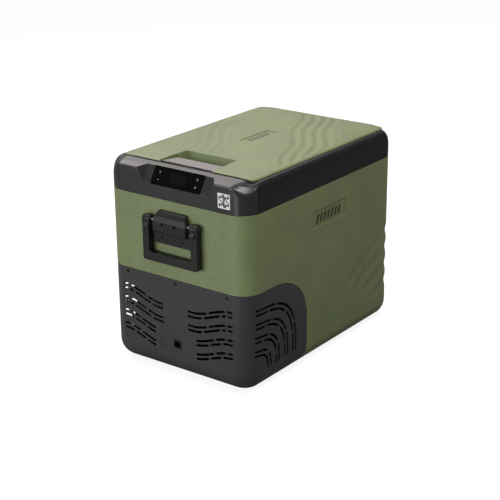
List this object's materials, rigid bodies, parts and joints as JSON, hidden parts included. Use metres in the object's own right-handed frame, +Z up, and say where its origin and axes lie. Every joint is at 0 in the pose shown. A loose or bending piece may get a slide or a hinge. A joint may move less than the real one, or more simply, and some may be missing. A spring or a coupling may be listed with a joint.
{
  "type": "compressor cooler fridge",
  "caption": "Portable compressor cooler fridge: boxy plastic cabinet with vented machine bay, hinged insulated lid with latch paddle, end bails and a slanted keyed display.",
  "frame": {"origin": "on the floor under the centre of the cabinet (centre of the bounding box's base)", "axes": "+Z up; -Y faces out of the display end; +Y faces out of the hinge end; +X is the right side seen from the display end"},
  "size_m": [0.37, 0.5966, 0.454],
  "materials": {
    "green_shell": "olive green moulded plastic, fine texture",
    "dark_shell": "dark charcoal moulded plastic, fine texture",
    "handle_plastic": "black glass-filled plastic",
    "latch_plastic": "warm grey satin plastic",
    "fan_plastic": "black plastic",
    "liner": "pale grey food-safe plastic",
    "foam": "rigid polyurethane foam",
    "display_gloss": "gloss black acrylic",
    "socket_black": "black plastic",
    "screw_black": "blackened steel",
    "board": "green circuit board",
    "steel": "zinc-plated steel",
    "aluminium": "bare aluminium",
    "copper": "copper tube",
    "black_sheet": "black sheet",
    "black_enamel": "black enamelled steel",
    "rubber": "black rubber",
    "gasket": "dark grey soft rubber",
    "coated_wire": "white-coated steel wire",
    "lamp": "opal plastic"
  },
  "bodies": {
    "cabinet": {"outer_shell": "green_shell", "base_cover": "dark_shell", "top_collar": "dark_shell", "control_fascia": "dark_shell", "inner_liner": "liner", "foam_insulation": "foam", "evaporator_plate": "aluminium", "bay_liner": "black_sheet", "bay_base_plate": "steel", "compressor_body": "black_enamel", "compressor_electronics": "dark_shell", "condenser_fins": "aluminium", "fan_shroud": "fan_plastic", "control_board": "board", "filter_drier": "copper", "suction_tube": "copper", "discharge_tube": "copper", "capillary_tube": "copper", "condenser_outlet_tube": "copper", "power_socket": "socket_black", "socket_plate": "dark_shell", "display_lens": "display_gloss", "display_board": "board", "interior_light": "lamp", "wire_basket": "coated_wire", "front_handle_bracket": "handle_plastic", "rear_handle_bracket": "handle_plastic", "front_handle_pin": "steel", "rear_handle_pin": "steel", "latch_keeper": "steel", "hinge_body_leaf_left": "steel", "hinge_body_leaf_right": "steel", "hinge_pin_left": "steel", "hinge_pin_right": "steel", "cover_screw_left": "screw_black", "cover_screw_middle": "screw_black", "cover_screw_right": "screw_black", "rubber_foot_1": "rubber", "compressor_grommet_1": "rubber", "rubber_foot_2": "rubber", "compressor_grommet_2": "rubber", "rubber_foot_3": "rubber", "compressor_grommet_3": "rubber", "rubber_foot_4": "rubber", "compressor_grommet_4": "rubber"},
    "lid": {"lid_cover": "green_shell", "lid_liner": "liner", "lid_foam": "foam", "lid_gasket": "gasket", "latch_pin": "steel", "hinge_lid_leaf_left": "steel", "hinge_lid_leaf_right": "steel"},
    "latch": {"latch_paddle": "latch_plastic"},
    "front_bail": {"front_bail": "handle_plastic"},
    "rear_bail": {"rear_bail": "handle_plastic"},
    "fan": {"fan_rotor": "fan_plastic"},
    "key_plus": {"key_plus": "display_gloss"},
    "key_minus": {"key_minus": "display_gloss"},
    "key_power": {"key_power": "display_gloss"},
    "key_set": {"key_set": "display_gloss"}
  },
  "joints": [
    {"name": "lid_hinge", "type": "hinge", "parent": "cabinet", "child": "lid", "pos_m": [0, 0.2532, 0.449], "axis": [-1, 0, 0], "range_deg": [0, 95]},
    {"name": "latch_lift", "type": "hinge", "parent": "lid", "child": "latch", "pos_m": [0, -0.2265, 0.4455], "axis": [1, 0, 0], "range_deg": [0, 30], "stiffness_Nm_per_rad": 0.25, "springref_deg": -8.59},
    {"name": "front_bail_swing", "type": "hinge", "parent": "cabinet", "child": "front_bail", "pos_m": [0, -0.2861, 0.344], "axis": [-1, 0, 0], "range_deg": [0, 95]},
    {"name": "rear_bail_swing", "type": "hinge", "parent": "cabinet", "child": "rear_bail", "pos_m": [0, 0.2861, 0.344], "axis": [1, 0, 0], "range_deg": [0, 95]},
    {"name": "fan_spin", "type": "hinge", "parent": "cabinet", "child": "fan", "pos_m": [0.064, -0.169, 0.061], "axis": [1, 0, 0], "continuous": true},
    {"name": "key_plus_press", "type": "slide", "parent": "cabinet", "child": "key_plus", "axis": [0, 0.8553, -0.5182], "range_m": [0, 0.0006], "stiffness_N_per_m": 300},
    {"name": "key_minus_press", "type": "slide", "parent": "cabinet", "child": "key_minus", "axis": [0, 0.8553, -0.5182], "range_m": [0, 0.0006], "stiffness_N_per_m": 300},
    {"name": "key_power_press", "type": "slide", "parent": "cabinet", "child": "key_power", "axis": [0, 0.8553, -0.5182], "range_m": [0, 0.0006], "stiffness_N_per_m": 300},
    {"name": "key_set_press", "type": "slide", "parent": "cabinet", "child": "key_set", "axis": [0, 0.8553, -0.5182], "range_m": [0, 0.0006], "stiffness_N_per_m": 300}
  ]
}
